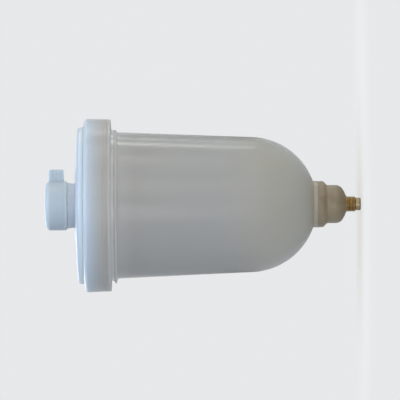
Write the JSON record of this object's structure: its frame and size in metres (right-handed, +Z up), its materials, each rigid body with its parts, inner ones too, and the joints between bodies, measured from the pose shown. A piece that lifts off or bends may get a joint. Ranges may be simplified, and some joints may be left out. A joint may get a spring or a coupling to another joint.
{
  "type": "gravity paint cup with lid",
  "caption": "Translucent white gravity paint cup: tapered shell with round bottom, screw lid, tabbed twist vent cap, inner strainer and threaded brass outlet under a cream collar.",
  "frame": {"origin": "centre of the outlet collar's rounded end, where the brass nipple's gun thread starts", "axes": "+Z up the cup's axis from the outlet to the lid; +X towards the vent cap's tab; the gun thread points down -Z"},
  "size_m": [0.1076, 0.1076, 0.196],
  "materials": {
    "shell_nylon": "milky translucent, satin moulded",
    "lid_nylon": "milky translucent, satin moulded",
    "cap_nylon": "milky translucent, matt moulded",
    "collar_nylon": "ivory, turned and rounded",
    "nut_nylon": "satin",
    "strainer_nylon": "satin",
    "gauze": "woven nylon gauze",
    "seal_white": "soft, matt",
    "seal_black": "satin rubber",
    "brass": "machined, lightly tarnished"
  },
  "bodies": {
    "cup": {"cup_shell": "shell_nylon", "outlet_collar": "collar_nylon", "collar_o_ring": "seal_black", "lock_washer": "seal_white", "lock_ring": "nut_nylon", "nipple_washer": "seal_white", "brass_nipple": "brass"},
    "strainer": {"strainer_cage": "strainer_nylon", "strainer_gauze": "gauze"},
    "lid_seal": {"lid_gasket": "seal_white"},
    "lid": {"lid_shell": "lid_nylon", "drip_tube": "strainer_nylon", "vent_o_ring": "seal_black"},
    "vent_valve": {"port_disc": "seal_white"},
    "vent_cap": {"vent_cap": "cap_nylon"}
  },
  "joints": [
    {"name": "strainer_lift", "type": "slide", "parent": "cup", "child": "strainer", "axis": [0, 0, 1], "range_m": [0, 0.06]},
    {"name": "lid_rise", "type": "slide", "parent": "cup", "child": "lid_seal", "axis": [0, 0, 1], "range_m": [0, 0.0151]},
    {"name": "lid_turn", "type": "hinge", "parent": "lid_seal", "child": "lid", "pos_m": [0, 0, 0.16], "axis": [0, 0, 1], "range_deg": [0, 1080]},
    {"name": "vent_pull", "type": "slide", "parent": "lid", "child": "vent_valve", "axis": [0, 0, 1], "range_m": [0, 0.015]},
    {"name": "vent_turn", "type": "hinge", "parent": "vent_valve", "child": "vent_cap", "pos_m": [0, 0, 0.1847], "axis": [0, 0, 1], "range_deg": [0, 90]}
  ],
  "couplings": [
    {"joint": "lid_rise", "follows": "lid_turn", "m_per_rad": 0.00079577}
  ]
}
